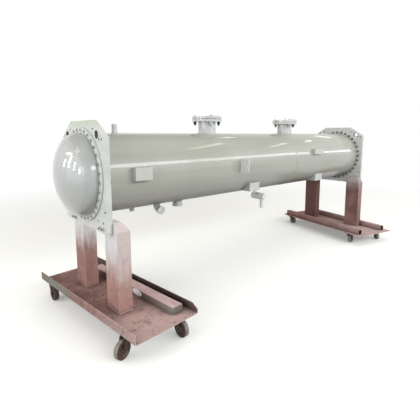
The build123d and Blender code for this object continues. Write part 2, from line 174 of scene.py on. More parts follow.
# Inputs are given by name, with _ for a space, or as i0, i1 and so on. Outputs are linked, values are set.
def setInputs(tree, node, **inputs):
    for name, value in inputs.items():
        byNumber = name[0] == "i" and name[1:].isdigit()
        socket = node.inputs[int(name[1:]) if byNumber else name.replace("_", " ")]
        if isinstance(value, bpy.types.NodeSocket):
            tree.links.new(value, socket)
        else:
            socket.default_value = value


def addNode(tree, kind, settings=None, **inputs):
    node = tree.nodes.new(kind)
    for name, value in (settings or {}).items():
        setattr(node, name, value)
    setInputs(tree, node, **inputs)
    return node


def addMath(tree, operation, first, second=0.0, clamp=False):
    settings = {"operation": operation, "use_clamp": clamp}
    return addNode(tree, "ShaderNodeMath", settings, i0=first, i1=second).outputs[0]


def multiply(tree, first, second):
    return addMath(tree, "MULTIPLY", first, second)


# 1 where the mask is 0, and 0 where it is 1
def invert(tree, mask):
    return addMath(tree, "SUBTRACT", 1.0, mask)


def addVector(tree, operation, first, second=(0.0, 0.0, 0.0)):
    node = addNode(tree, "ShaderNodeVectorMath", {"operation": operation}, i0=first, i1=second)
    return node.outputs["Value" if operation in ("DOT_PRODUCT", "LENGTH") else "Vector"]


def splitVector(tree, vector):
    return addNode(tree, "ShaderNodeSeparateXYZ", Vector=vector).outputs


# Maps a value smoothly from low..high to 0..1, or downwards where low is the larger
def addRamp(tree, value, low, high):
    settings = {"interpolation_type": "SMOOTHSTEP"}
    return addNode(tree, "ShaderNodeMapRange", settings, i0=value, i1=low, i2=high).outputs[0]


def addNoise(tree, vector, scale, detail, roughness=0.5, distortion=0.0):
    node = addNode(tree, "ShaderNodeTexNoise", Vector=vector, Scale=scale, Detail=detail,
                   Roughness=roughness, Distortion=distortion)
    return node.outputs[0]


def addMix(tree, mask, first, second):
    return addNode(tree, "ShaderNodeMix", {"data_type": "RGBA"}, i0=mask, i6=first, i7=second).outputs[2]


# Lays one colour over another where a mask is, by an amount
def addLayer(tree, colour, over, mask, amount):
    return addMix(tree, multiply(tree, mask, amount), colour, over)


# A group's inputs come with their defaults, and its outputs are masks and values
def newGroup(name, inputs, outputs):
    tree = bpy.data.node_groups.new(name, "ShaderNodeTree")
    for label, default in inputs.items():
        kind = "NodeSocketFloat" if isinstance(default, float) else "NodeSocketVector"
        socket = tree.interface.new_socket(label, in_out="INPUT", socket_type=kind)
        socket.default_value = default
    for label in outputs:
        tree.interface.new_socket(label, in_out="OUTPUT", socket_type="NodeSocketFloat")
    return tree, tree.nodes.new("NodeGroupInput").outputs, tree.nodes.new("NodeGroupOutput")


def useGroup(tree, group, **inputs):
    return addNode(tree, "ShaderNodeGroup", {"node_tree": group}, **inputs).outputs


# Effects that several finishes share

origin = (0.0, 0.0, 0.0)


# Cloudy variation of sprayed paint, and the fine peel of its surface
def makeMottleGroup():
    tree, given, result = newGroup(
        "paintMottle", {"Vector": origin, "Cloud Scale": 3.0, "Peel Scale": 240.0}, ("Clouds", "Peel"))
    clouds = addNoise(tree, given["Vector"], given["Cloud Scale"], 5.0, 0.55)
    peel = addNoise(tree, given["Vector"], given["Peel Scale"], 2.0)
    setInputs(tree, result, Clouds=addRamp(tree, clouds, 0.32, 0.68), Peel=peel)
    return tree


# Paler edges: paint rubbed off along them, and a painted highlight where they catch the light
def makeEdgeGroup():
    tree, given, result = newGroup("edgeRub", {"Vector": origin, "Radius": 0.004, "Broken": 0.5}, ("Mask",))
    bevel = addNode(tree, "ShaderNodeBevel", {"samples": 4}, Radius=given["Radius"])
    normal = tree.nodes.new("ShaderNodeNewGeometry").outputs["Normal"]
    edge = addRamp(tree, invert(tree, addVector(tree, "DOT_PRODUCT", bevel.outputs[0], normal)), 0.01, 0.12)
    kept = addRamp(tree, addNoise(tree, given["Vector"], 24.0, 6.0), 0.3, 0.62)
    broken = multiply(tree, invert(tree, kept), given["Broken"])
    setInputs(tree, result, Mask=addMath(tree, "SUBTRACT", edge, broken, clamp=True))
    return tree


# Overspray that fades along a height, ragged at its lower end
def makeSprayGroup():
    tree, given, result = newGroup(
        "sprayFade", {"Vector": origin, "Low": 0.4, "High": 0.8, "Ragged": 0.2}, ("Mask",))
    drawn = addVector(tree, "MULTIPLY", given["Vector"], (1.0, 1.0, 0.22))
    runs = addMath(tree, "SUBTRACT", addNoise(tree, drawn, 26.0, 6.0, 0.62), 0.5)
    height = splitVector(tree, given["Vector"])["Z"]
    height = addMath(tree, "ADD", height, multiply(tree, runs, given["Ragged"]))
    setInputs(tree, result, Mask=addRamp(tree, height, given["Low"], given["High"]))
    return tree


# Smears, spots, stains and fine scratches of handling and shop dirt
def makeGrimeGroup():
    tree, given, result = newGroup(
        "shopGrime", {"Vector": origin, "Scale": 6.0, "Stretch": (1.0, 1.0, 1.0)},
        ("Smears", "Spots", "Stains", "Scratches"))
    place = given["Vector"]
    stretched = addVector(tree, "MULTIPLY", place, given["Stretch"])
    smears = addNoise(tree, stretched, given["Scale"], 7.0, 0.6, 0.4)
    spots = addNoise(tree, place, 38.0, 5.0, 0.7)
    stains = addNoise(tree, place, 21.0, 9.0, 0.72, 0.2)
    scratches = addNoise(tree, addVector(tree, "MULTIPLY", place, (70.0, 9.0, 60.0)), 1.0, 4.0, 0.6)
    setInputs(tree, result, Smears=addRamp(tree, smears, 0.42, 0.68),
              Spots=addRamp(tree, spots, 0.56, 0.74), Stains=addRamp(tree, stains, 0.5, 0.66),
              Scratches=addRamp(tree, scratches, 0.62, 0.72))
    return tree


# Dirt and painted shade where surfaces meet, and painted shade inside holes
def makeCreviceGroup(name, ownOnly):
    tree, given, result = newGroup(name, {"Distance": 0.02}, ("Corners", "Holes"))
    occlusion = addNode(tree, "ShaderNodeAmbientOcclusion", {"samples": 6, "only_local": ownOnly},
                        Distance=given["Distance"])
    hidden = invert(tree, occlusion.outputs["AO"])
    setInputs(tree, result, Corners=addRamp(tree, hidden, 0.2, 0.6),
              Holes=addRamp(tree, hidden, 0.55, 0.85))
    return tree


mottleGroup = makeMottleGroup()
edgeGroup = makeEdgeGroup()
sprayGroup = makeSprayGroup()
grimeGroup = makeGrimeGroup()
creviceGroup = makeCreviceGroup("creviceDirt", False)
ownCreviceGroup = makeCreviceGroup("ownCreviceDirt", True)


# The steps below read what they need from a finish's own dictionary

def startMaterial(name, values):
    material = bpy.data.materials.new(name)
    material.use_nodes = True
    tree = material.node_tree
    shader = tree.nodes["Principled BSDF"]
    setInputs(tree, shader, Roughness=values["roughness"], Metallic=values.get("metallic", 0.0),
              Coat_Weight=values.get("coat", 0.0), Coat_Roughness=values.get("coatRoughness", 0.1))
    return material, tree, shader, tree.nodes.new("ShaderNodeTexCoord").outputs["Object"]


def finishMaterial(tree, shader, colour, height, values):
    bump = addNode(tree, "ShaderNodeBump", Height=height, Strength=values["peel"],
                   Distance=values["peelDepth"])
    setInputs(tree, shader, Base_Color=colour, Normal=bump.outputs[0])


def addMottle(tree, place, values):
    return useGroup(tree, mottleGroup, Vector=place, Cloud_Scale=values["cloudScale"],
                    Peel_Scale=values["peelScale"])


# Edges paled as rubbed paint and as painted highlight
def addWornAndLitEdges(tree, colour, place, values):
    edge = useGroup(tree, edgeGroup, Vector=place, Radius=values["edgeRadius"], Broken=values["edgeBroken"])
    return addLayer(tree, colour, values["edgeColour"], edge["Mask"], values["edgeAmount"])


# Corners darken as dirt and painted shade, and holes take a painted shade colour
def addDirtAndShade(tree, colour, values, group=creviceGroup):
    crevice = useGroup(tree, group, Distance=values["dirtReach"])
    colour = addLayer(tree, colour, values["dirt"], crevice["Corners"], values["dirtAmount"])
    return addMix(tree, crevice["Holes"], colour, values["hole"])


# Which way a face looks, along the object's own axes
def addFacing(tree):
    return splitVector(tree, tree.nodes.new("ShaderNodeTexCoord").outputs["Normal"])


# 1 on faces that look mostly against an axis, 0 on those that do so by less than a start
def addAgainst(tree, facing, start):
    mostly = 0.8
    return addRamp(tree, facing, -start, -mostly)


# Coordinates that run along and across a node that stands askew, from its middle and the floor
def addLocalPlace(tree, place, node, turn):
    low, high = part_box(node)
    middle = ((low.x + high.x) / 2, (low.y + high.y) / 2, 0.0)
    local = addNode(tree, "ShaderNodeMapping", {"vector_type": "TEXTURE"}, Vector=place, Location=middle,
                    Rotation=(0.0, 0.0, radians(turn)))
    return local.outputs[0]


# Distance from a line along X, given by its y and z
def addReach(tree, place, y, z):
    across = addVector(tree, "MULTIPLY", addVector(tree, "SUBTRACT", place, (0.0, y, z)), (0.0, 1.0, 1.0))
    return addVector(tree, "LENGTH", across)


# Vessel paint

shellFinish = {
    "colour": rgb(178, 178, 169),
    "cloudColour": rgb(170, 170, 160),
    "cloudScale": 1.8,
    "lowColour": rgb(88, 86, 80),
    "lowStart": 0.19,
    "streakColour": rgb(186, 187, 181),
    "streakStretch": (0.5, 16.0, 16.0),
    "streakScale": 1.6,
    "streaks": 0.35,
    "roughness": 0.4,
    "specular": 0.2,
    "coat": 0.7,
    "coatRoughness": 0.025,
    "peelScale": 150.0,
    "peel": 0.04,
    "peelDepth": 0.0006,
}


# Grey-green enamel, dull and with painted shade from a little below the axis down
def makeShellPaint():
    values = shellFinish
    material, tree, shader, place = startMaterial("shellPaint", values)
    mottle = addMottle(tree, place, values)
    colour = addMix(tree, mottle["Clouds"], values["colour"], values["cloudColour"])
    drawn = addVector(tree, "MULTIPLY", place, values["streakStretch"])
    streaks = addRamp(tree, addNoise(tree, drawn, values["streakScale"], 3.0), 0.45, 0.7)
    colour = addLayer(tree, colour, values["streakColour"], streaks, values["streaks"])
    # Painted shade on the shell's underside
    under = addRamp(tree, splitVector(tree, place)["Z"], axisZ - values["lowStart"], axisZ - shellRadius)
    colour = addMix(tree, under, colour, values["lowColour"])
    setInputs(tree, shader, Coat_Weight=multiply(tree, invert(tree, under), values["coat"]),
              Specular_IOR_Level=values["specular"])
    finishMaterial(tree, shader, colour, mottle["Peel"], values)
    return material


bonnetFinish = {
    "colour": rgb(182, 184, 183),
    "cloudColour": rgb(172, 174, 174),
    "cloudScale": 5.0,
    "ringColour": rgb(216, 218, 217),
    "dirt": rgb(116, 116, 110),
    "hole": rgb(116, 116, 110),
    "dirtReach": 0.014,
    "dirtAmount": 0.75,
    "roughness": 0.4,
    "coat": 1.0,
    "coatRoughness": 0.02,
    "peelScale": 120.0,
    "peel": 0.05,
    "peelDepth": 0.0008,
}


# The same enamel, greyer on the dished heads, paler and duller on the bolting ring
def makeBonnetPaint():
    values = bonnetFinish
    material, tree, shader, place = startMaterial("bonnetPaint", values)
    mottle = addMottle(tree, place, values)
    colour = addMix(tree, mottle["Clouds"], values["colour"], values["cloudColour"])
    reach = addReach(tree, place, axisY, axisZ)
    onRing = addRamp(tree, reach, shellRadius + 0.0005, shellRadius + 0.002)
    colour = addMix(tree, onRing, colour, values["ringColour"])
    colour = addDirtAndShade(tree, colour, values, ownCreviceGroup)
    setInputs(tree, shader, Coat_Weight=multiply(tree, invert(tree, onRing), values["coat"]))
    finishMaterial(tree, shader, colour, mottle["Peel"], values)
    return material


weldFinish = {
    "colour": rgb(206, 206, 198),
    "cloudColour": rgb(172, 174, 174),
    "cloudScale": 40.0,
    "roughness": 0.4,
    "coat": 0.4,
    "coatRoughness": 0.15,
    "peelScale": 400.0,
    "peel": 0.2,
    "peelDepth": 0.0006,
}


# Paint over weld beads, paler than the shell because their ripples catch the light
def makeWeldPaint():
    values = weldFinish
    material, tree, shader, place = startMaterial("weldPaint", values)
    mottle = addMottle(tree, place, values)
    colour = addMix(tree, mottle["Clouds"], values["colour"], values["cloudColour"])
    finishMaterial(tree, shader, colour, mottle["Peel"], values)
    return material


sheetFinish = {
    "colour": rgb(218, 219, 218),
    "cloudColour": rgb(204, 206, 204),
    "cloudScale": 9.0,
    "edgeColour": rgb(218, 219, 213),
    "edgeRadius": 0.005,
    "edgeBroken": 0.5,
    "edgeAmount": 0.7,
    "speckColour": rgb(168, 170, 167),
    "specks": 0.4,
    "grimeScale": 14.0,
    "greenTint": rgb(196, 210, 184),
    "green": 0.75,
    "greenLow": 0.03,
    "greenHigh": 0.085,
    "dirt": rgb(120, 121, 116),
    "hole": rgb(52, 51, 48),
    "dirtReach": 0.03,
    "dirtAmount": 0.6,
    "roughness": 0.5,
    "peelScale": 320.0,
    "peel": 0.12,
    "peelDepth": 0.0008,
}

# The large holes in the upper corners, from the shell's axis, and the radii between which their walls take
# painted shade
liftingHole = {"out": 0.268, "up": 0.293, "start": 0.0292, "full": 0.0275}


# Thin grey paint over machined plate, a little green where it was touched up on top
def makeSheetPaint(name, greenTop):
    values = sheetFinish
    material, tree, shader, place = startMaterial(name, values)
    mottle = addMottle(tree, place, values)
    grime = useGroup(tree, grimeGroup, Vector=place, Scale=values["grimeScale"])
    colour = addMix(tree, mottle["Clouds"], values["colour"], values["cloudColour"])
    colour = addLayer(tree, colour, values["speckColour"], grime["Spots"], values["specks"])
    colour = addWornAndLitEdges(tree, colour, place, values)
    if greenTop:
        shellTop = axisZ + shellRadius
        top = addRamp(tree, splitVector(tree, place)["Z"], shellTop + values["greenLow"],
                      shellTop + values["greenHigh"])
        colour = addLayer(tree, colour, values["greenTint"], top, values["green"])
    # Painted shade on the walls of the large holes
    mirrored = addVector(tree, "ABSOLUTE", addVector(tree, "SUBTRACT", place, (0.0, axisY, 0.0)))
    reach = addReach(tree, mirrored, liftingHole["out"], axisZ + liftingHole["up"])
    inHole = addRamp(tree, reach, liftingHole["start"], liftingHole["full"])
    colour = addMix(tree, inHole, colour, values["hole"])
    colour = addDirtAndShade(tree, colour, values)
    finishMaterial(tree, shader, colour, mottle["Peel"], values)
    return material


fittingFinish = {
    "colour": rgb(203, 205, 204),
    "cloudColour": rgb(186, 189, 188),
    "cloudScale": 16.0,
    "warmColour": rgb(196, 197, 188),
    "edgeColour": rgb(228, 229, 228),
    "edgeRadius": 0.003,
    "edgeBroken": 0.35,
    "edgeAmount": 0.6,
    "dirt": rgb(108, 110, 108),
    "hole": rgb(108, 110, 108),
    "dirtReach": 0.016,
    "dirtAmount": 0.6,
    "roughness": 0.34,
    "coat": 0.8,
    "coatRoughness": 0.08,
    "peelScale": 260.0,
    "peel": 0.1,
    "peelDepth": 0.0006,
}


# Paint of the nozzles and fittings, drawn towards one of the other colours by an amount
def makeFittingPaint(name, tint="colour", amount=0.0):
    values = fittingFinish
    material, tree, shader, place = startMaterial(name, values)
    mottle = addMottle(tree, place, values)
    colour = addMix(tree, mottle["Clouds"], values["colour"], values["cloudColour"])
    colour = addMix(tree, amount, colour, values[tint])
    colour = addWornAndLitEdges(tree, colour, place, values)
    colour = addDirtAndShade(tree, colour, values)
    finishMaterial(tree, shader, colour, mottle["Peel"], values)
    return material


# Dark steel of studs and bolt ends that the paint missed, grey nuts darkened as painted shade, and steel of
# the casters
steelFinish = {
    "darkSteel": {"colour": rgb(74, 74, 70), "dark": rgb(42, 42, 40), "roughness": 0.5, "metallic": 0.6},
    "dullNut": {"colour": rgb(140, 142, 141), "dark": rgb(96, 98, 98), "roughness": 0.6, "metallic": 0.0},
    "casterSteel": {"colour": rgb(92, 70, 64), "dark": rgb(52, 40, 38), "roughness": 0.6, "metallic": 0.2},
}
steelSurface = {"peel": 0.2, "peelDepth": 0.0005, "grimeScale": 60.0}


def makeSteel(name):
    values = {**steelSurface, **steelFinish[name]}
    material, tree, shader, place = startMaterial(name, values)
    grime = useGroup(tree, grimeGroup, Vector=place, Scale=values["grimeScale"])
    colour = addMix(tree, grime["Smears"], values["colour"], values["dark"])
    finishMaterial(tree, shader, colour, grime["Spots"], values)
    return material


# Wheels: a worn tread, with dirtier sides and hub

wheelFinish = {
    "left": {"tread": rgb(156, 148, 140), "treadDirt": rgb(112, 96, 86),
             "side": rgb(92, 66, 58), "sideDirt": rgb(60, 44, 40)},
    "right": {"tread": rgb(166, 165, 160), "treadDirt": rgb(118, 116, 112),
              "side": rgb(176, 174, 170), "sideDirt": rgb(96, 94, 90)},
    "sooty": {"left_wheel_a": 0.75, "left_wheel_c": 0.15},
    "soot": rgb(60, 44, 40),
    "grimeScale": 30.0,
    "roughness": 0.72,
    "peel": 0.25,
    "peelDepth": 0.0008,
}


# The sides are told from the tread by how far a face is turned to the axle
def makeWheelPaint(node):
    values = wheelFinish
    dolly, letter = node.split("_wheel_")
    spin = f"{dolly}_roller_{letter}_spin"
    axle = next(tuple(joint["axis"]) for joint in frame["joints"] if joint["name"] == spin)
    material, tree, shader, place = startMaterial(finishName(node, "Paint"), values)
    grime = useGroup(tree, grimeGroup, Vector=place, Scale=values["grimeScale"])
    normal = tree.nodes.new("ShaderNodeTexCoord").outputs["Normal"]
    turned = addMath(tree, "ABSOLUTE", addVector(tree, "DOT_PRODUCT", normal, axle))
    tread = addMix(tree, grime["Smears"], values[dolly]["tread"], values[dolly]["treadDirt"])
    flank = addMix(tree, grime["Smears"], values[dolly]["side"], values[dolly]["sideDirt"])
    colour = addMix(tree, addRamp(tree, turned, 0.2, 0.5), tread, flank)
    # Some wheels are drawn darker, by an amount each
    colour = addMix(tree, values["sooty"].get(node, 0.0), colour, values["soot"])
    finishMaterial(tree, shader, colour, grime["Spots"], values)
    return material


# Red primer of the posts and dollies. The dollies stand askew, by these degrees.

dollyTurns = {"left": 5.0, "right": -13.3}

primerFinish = {
    "red": rgb(166, 126, 120),
    "deepRed": rgb(126, 92, 87),
    "brightRed": rgb(212, 164, 152),
    "darkRed": rgb(88, 54, 48),
    "bright": 0.0,
    "dark": 0.0,
    "cloudScale": 7.0,
    "pink": rgb(200, 170, 168),
    "pinkSpots": 0.3,
    "grimeScale": 9.0,
    "smearStretch": (1.0, 1.0, 0.15),
    "smears": 0.55,
    "stains": 0.3,
    "scratches": 0.35,
    "edgeColour": rgb(212, 186, 183),
    "edgeRadius": 0.006,
    "edgeBroken": 0.6,
    "edgeAmount": 0.7,
    "dirt": rgb(70, 54, 52),
    "hole": rgb(34, 27, 26),
    "dirtReach": 0.05,
    "dirtAmount": 0.6,
    "spray": rgb(226, 224, 225),
    "sprayAmount": 0.0,
    "sprayLow": 0.6,
    "sprayHigh": 0.8,
    "ragged": 0.2,
    "frontPink": 0.0,
    "pinkLow": 0.22,
    "pinkHigh": 0.5,
    "lessSpray": 0.5,
    "paleFront": 0.0,
    "roughness": 0.72,
    "peelScale": 190.0,
    "peel": 0.25,
    "peelDepth": 0.001,
}

# What each piece has instead: spray by height, paler towards the front by y, more or less dirt and painted
# shade, and painted light over some whole pieces, painted shade over others
flatSmears = {"smearStretch": (0.5, 1.4, 1.0)}
railLook = {"smearStretch": (1.0, 0.3, 1.0), "smears": 0.4, "stains": 0.5,
            "paleFront": 0.4, "paleFrom": 0.8, "paleTo": -0.9}
primerPieces = {
    "left_front_post": {"sprayAmount": 1.0, "sprayLow": 0.34, "sprayHigh": 0.66, "ragged": 0.45,
                        "pinkSpots": 0.5, "frontPink": 0.5, "bright": 0.35},
    "left_back_post": {"sprayAmount": 1.0, "sprayLow": 0.46, "sprayHigh": 0.68, "ragged": 0.3,
                       "bright": 0.2},
    "right_front_post": {"sprayAmount": 0.8, "sprayLow": 0.62, "sprayHigh": 0.82, "frontPink": 0.25,
                         "dark": 0.25},
    "right_back_post": {"sprayAmount": 0.4, "sprayLow": 0.8, "sprayHigh": 0.95, "pinkSpots": 0.15,
                        "dark": 0.85},
    "left_tray": {**flatSmears, "smears": 0.8, "edgeAmount": 0.9, "stains": 0.6, "dirtReach": 0.1,
                  "dirtAmount": 0.85, "paleFront": 0.55, "paleFrom": -0.15, "paleTo": -0.7},
    "right_deck": {**flatSmears, "smears": 0.5, "pinkSpots": 0.6, "stains": 0.4, "dirtReach": 0.08,
                   "dirtAmount": 0.8, "paleFront": 0.7, "paleFrom": 0.6, "paleTo": -0.5},
    "right_front_rail": railLook,
    "right_back_rail": railLook,
}

# The tray's rims: worn grey-green outside on the left one, painted shade inside on the right one
trayRims = {
    "colour": rgb(122, 128, 119),
    "start": 0.12,
    "full": 0.42,
    "wander": 0.2,
    "patchy": 0.4,
    "rightStart": 0.1,
    "rightFull": 0.15,
    "soot": 0.85,
}

# Height of the rails' middle over the floor, and how far from it their walls take painted shade inside
railSection = {"middle": 0.164, "start": 0.0272, "full": 0.0264}


def addTrayRims(tree, colour, place, clouds, smears):
    values = trayRims
    local = splitVector(tree, addLocalPlace(tree, place, "left_tray", dollyTurns["left"]))
    towardsLeft = addAgainst(tree, addFacing(tree)["X"], 0.4)
    onRight = addRamp(tree, local["X"], values["rightStart"], values["rightFull"])
    outside = addMath(tree, "SUBTRACT", towardsLeft, onRight, clamp=True)
    reach = addMath(tree, "ADD", local["Y"], multiply(tree, smears, values["wander"]))
    along = multiply(tree, addRamp(tree, reach, values["start"], values["full"]), outside)
    patches = invert(tree, multiply(tree, clouds, values["patchy"]))
    colour = addLayer(tree, colour, values["colour"], along, patches)
    # Painted shade on the right rim's inner face
    inside = multiply(tree, towardsLeft, onRight)
    return addLayer(tree, colour, primerFinish["dirt"], inside, values["soot"])


# Painted shade inside an open square rail
def addRailHollowShade(tree, colour, place, node):
    local = splitVector(tree, addLocalPlace(tree, place, node, dollyTurns["right"]))
    upward = addMath(tree, "ABSOLUTE", addMath(tree, "SUBTRACT", local["Z"], railSection["middle"]))
    reach = addMath(tree, "MAXIMUM", addMath(tree, "ABSOLUTE", local["X"]), upward)
    inside = addRamp(tree, reach, railSection["start"], railSection["full"])
    return addMix(tree, inside, colour, primerFinish["hole"])


# Primer with smears, stains and pink edges, rubbed and with painted highlight, and light overspray from a
# height up
def makePrimer(node):
    values = {**primerFinish, **primerPieces[node]}
    material, tree, shader, place = startMaterial(finishName(node, "Primer"), values)
    parts = splitVector(tree, place)
    mottle = addMottle(tree, place, values)
    grime = useGroup(tree, grimeGroup, Vector=place, Scale=values["grimeScale"],
                     Stretch=values["smearStretch"])
    spray = useGroup(tree, sprayGroup, Vector=place, Low=values["sprayLow"], High=values["sprayHigh"],
                     Ragged=values["ragged"])
    colour = addMix(tree, mottle["Clouds"], values["red"], values["deepRed"])
    colour = addLayer(tree, colour, values["pink"], grime["Spots"], values["pinkSpots"])
    colour = addLayer(tree, colour, values["deepRed"], grime["Smears"], values["smears"])
    # Painted light over the whole piece, by an amount
    colour = addMix(tree, values["bright"], colour, values["brightRed"])
    sprayed = multiply(tree, spray["Mask"], values["sprayAmount"])
    if values["frontPink"]:
        front = addAgainst(tree, addFacing(tree)["Y"], 0.3)
        pinked = multiply(tree, front, addRamp(tree, parts["Z"], values["pinkLow"], values["pinkHigh"]))
        colour = addLayer(tree, colour, values["edgeColour"], pinked, values["frontPink"])
        sprayed = multiply(tree, sprayed, invert(tree, multiply(tree, front, values["lessSpray"])))
    if values["paleFront"]:
        pale = addRamp(tree, parts["Y"], values["paleFrom"], values["paleTo"])
        colour = addLayer(tree, colour, values["edgeColour"], pale, values["paleFront"])
    colour = addLayer(tree, colour, values["dirt"], grime["Stains"], values["stains"])
    colour = addLayer(tree, colour, values["edgeColour"], grime["Scratches"], values["scratches"])
    colour = addWornAndLitEdges(tree, colour, place, values)
    colour = addMix(tree, sprayed, colour, values["spray"])
    if node == "left_tray":
        colour = addTrayRims(tree, colour, place, mottle["Clouds"], grime["Smears"])
    if node.endswith("_rail"):
        colour = addRailHollowShade(tree, colour, place, node)
    # Painted shade over the whole piece, by an amount
    colour = addMix(tree, values["dark"], colour, values["darkRed"])
    colour = addDirtAndShade(tree, colour, values)
    finishMaterial(tree, shader, colour, mottle["Peel"], values)
    return material


# The loose bar: primer on top, bare and stained at the sides, with one white daub ringed dark

barFinish = {
    "top": rgb(204, 174, 174),
    "topDark": rgb(168, 134, 132),
    "topSmears": 0.6,
    "grimeScale": 14.0,
    "smearStretch": (1.0, 0.35, 1.0),
    "side": rgb(132, 120, 114),
    "stain": rgb(118, 102, 82),
    "greyGreen": rgb(132, 142, 138),
    "end": rgb(112, 98, 90),
    "endAmount": 0.6,
    "white": rgb(246, 246, 246),
    "ring": rgb(58, 46, 44),
    "daubAlong": -0.119,
    "daubHeight": 0.198,
    "daubHalfLength": 0.062,
    "daubHalfHeight": 0.026,
    "daubWander": 0.1,
    "dirt": rgb(58, 46, 44),
    "hole": rgb(58, 46, 44),
    "dirtReach": 0.06,
    "dirtAmount": 0.7,
    "roughness": 0.7,
    "cloudScale": 13.0,
    "peelScale": 190.0,
    "peel": 0.3,
    "peelDepth": 0.0012,
}


# Distance from the daub's middle, 1 at its rim
def addDaubReach(tree, parts, clouds):
    values = barFinish
    across = addMath(tree, "SUBTRACT", parts["Y"], values["daubAlong"])
    across = addMath(tree, "DIVIDE", across, values["daubHalfLength"])
    upward = addMath(tree, "SUBTRACT", parts["Z"], values["daubHeight"])
    upward = addMath(tree, "DIVIDE", upward, values["daubHalfHeight"])
    squares = addMath(tree, "ADD", multiply(tree, across, across), multiply(tree, upward, upward))
    wavering = multiply(tree, clouds, values["daubWander"])
    return addMath(tree, "ADD", addMath(tree, "SQRT", squares), wavering)


def makeBarPaint():
    values = barFinish
    material, tree, shader, place = startMaterial("looseBarPaint", values)
    local = addLocalPlace(tree, place, "loose_bar", dollyTurns["left"])
    parts = splitVector(tree, local)
    facing = addFacing(tree)
    grime = useGroup(tree, grimeGroup, Vector=local, Scale=values["grimeScale"],
                     Stretch=values["smearStretch"])
    mottle = addMottle(tree, local, values)
    top = addLayer(tree, values["top"], values["topDark"], grime["Smears"], values["topSmears"])
    side = addMix(tree, grime["Smears"], values["side"], values["stain"])
    towardsEnd = addRamp(tree, parts["Y"], -0.18, -0.4)
    side = addLayer(tree, side, values["greyGreen"], towardsEnd, mottle["Clouds"])
    side = addLayer(tree, side, values["end"], grime["Spots"], values["endAmount"])
    atEnd = addAgainst(tree, facing["Y"], 0.5)
    side = addLayer(tree, side, values["end"], atEnd, values["endAmount"])
    reach = addDaubReach(tree, parts, mottle["Clouds"])
    towardsLeft = addAgainst(tree, facing["X"], 0.5)
    side = addLayer(tree, side, values["ring"], addRamp(tree, reach, 1.35, 1.1), towardsLeft)
    side = addLayer(tree, side, values["white"], addRamp(tree, reach, 1.06, 0.98), towardsLeft)
    colour = addMix(tree, addRamp(tree, facing["Z"], 0.3, 0.6), side, top)
    colour = addDirtAndShade(tree, colour, values)
    finishMaterial(tree, shader, colour, mottle["Peel"], values)
    return material


print("finishes")
shellPaint = makeShellPaint()
bonnetPaint = makeBonnetPaint()
weldPaint = makeWeldPaint()
fittingPaint = makeFittingPaint("fittingPaint")
# A paler copy of the fitting paint for the lug plate and relief valve, as painted light
paleFittingPaint = makeFittingPaint("paleFittingPaint", "edgeColour", 1.0)
bracketPaint = makeFittingPaint("bracketPaint", "warmColour", 0.8)
darkSteel = makeSteel("darkSteel")
dullNut = makeSteel("dullNut")
casterSteel = makeSteel("casterSteel")

nodeFinish = {
    "shell": shellPaint,
    "left_bonnet": bonnetPaint,
    "right_bonnet": bonnetPaint,
    "left_tube_sheet": makeSheetPaint("leftSheetPaint", True),
    "right_tube_sheet": makeSheetPaint("rightSheetPaint", False),
    "lug_plate": paleFittingPaint,
    "relief_valve": paleFittingPaint,
    "nameplate_bracket": bracketPaint,
    "side_bracket": bracketPaint,
    "loose_bar": makeBarPaint(),
}
for name in primerPieces:
    nodeFinish[name] = makePrimer(name)
for name, obj in nodes.items():
    if "_wheel_" in name:
        material = makeWheelPaint(name)
    elif "fork" in name or "caster_plates" in name:
        material = casterSteel
    else:
        material = nodeFinish.get(name, fittingPaint)
    obj.data.materials.clear()
    obj.data.materials.append(material)


# Studs round the bonnets, through ring and tube sheet

bonnetStuds = {
    "count": 32,
    "circle": 0.328,
    "phase": {"left": 0.5, "right": 0.0},
    "ringThickness": 0.012,
    "studRadius": 0.008,
    "innerRadius": 0.00784,
    "flats": 0.026,
    "outerNut": 0.0055,
    "outerEnd": 0.0068,
    "innerNut": 0.015,
    "innerEnd": {"left": 0.021, "right": 0.026},
    "uneven": 0.004,
    "tip": 0.004,
    "pitch": 0.0025,
    "threads": 2,
    "spin": 2.0,
    "spinSeed": (3.1, 0.5),
    "lengthSeed": (1.7, 4.5),
}


# A steady value from -1 to 1 for each stud
def wander(index, outward, seed):
    return noise.noise(Vector((index * seed[0], outward, seed[1])))


# Low nuts outside on the ring, and long stud ends with nuts inside on the sheet
def makeBonnetStuds(side):
    values = bonnetStuds
    sheetLow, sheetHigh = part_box(side + "_tube_sheet")
    outward, outerFace, innerX = ((-1, sheetLow.x, sheetHigh.x) if side == "left"
                                  else (1, sheetHigh.x, sheetLow.x))
    outerX = outerFace + outward * values["ringThickness"]
    nuts, tips, innerNuts = newMesh(), newMesh(), newMesh()
    for index in range(values["count"]):
        turn = 2 * pi * (index + values["phase"][side]) / values["count"]
        y = axisY + values["circle"] * sin(turn)
        z = axisZ + values["circle"] * cos(turn)
        spin = wander(index, outward, values["spinSeed"]) * values["spin"]
        outer = placeAlong((outerX, y, z), (outward, 0, 0), spin)
        inner = placeAlong((innerX, y, z), (-outward, 0, 0), spin)
        addNut(nuts, outer, values["flats"], values["outerNut"])
        addNut(innerNuts, inner, values["flats"], values["innerNut"])
        addStud(tips, outer, values["studRadius"], values["outerEnd"], values["pitch"], values["threads"])
        uneven = values["uneven"] * wander(index, outward, values["lengthSeed"])
        length = values["innerEnd"][side] + uneven - values["tip"]
        addStud(nuts, inner, values["innerRadius"], length, values["pitch"], values["threads"])
        atTip = inner @ Matrix.Translation((0, 0, length))
        addStud(tips, atTip, values["studRadius"], values["tip"], values["pitch"], 1)
    addPiece(side + "BonnetNuts", nuts, fittingPaint)
    addPiece(side + "BonnetStudEnds", tips, darkSteel)
    # The inner nuts are grey with painted shade
    addPiece(side + "InnerNuts", innerNuts, dullNut)


# Four bolts on each nozzle cover, in every second hole

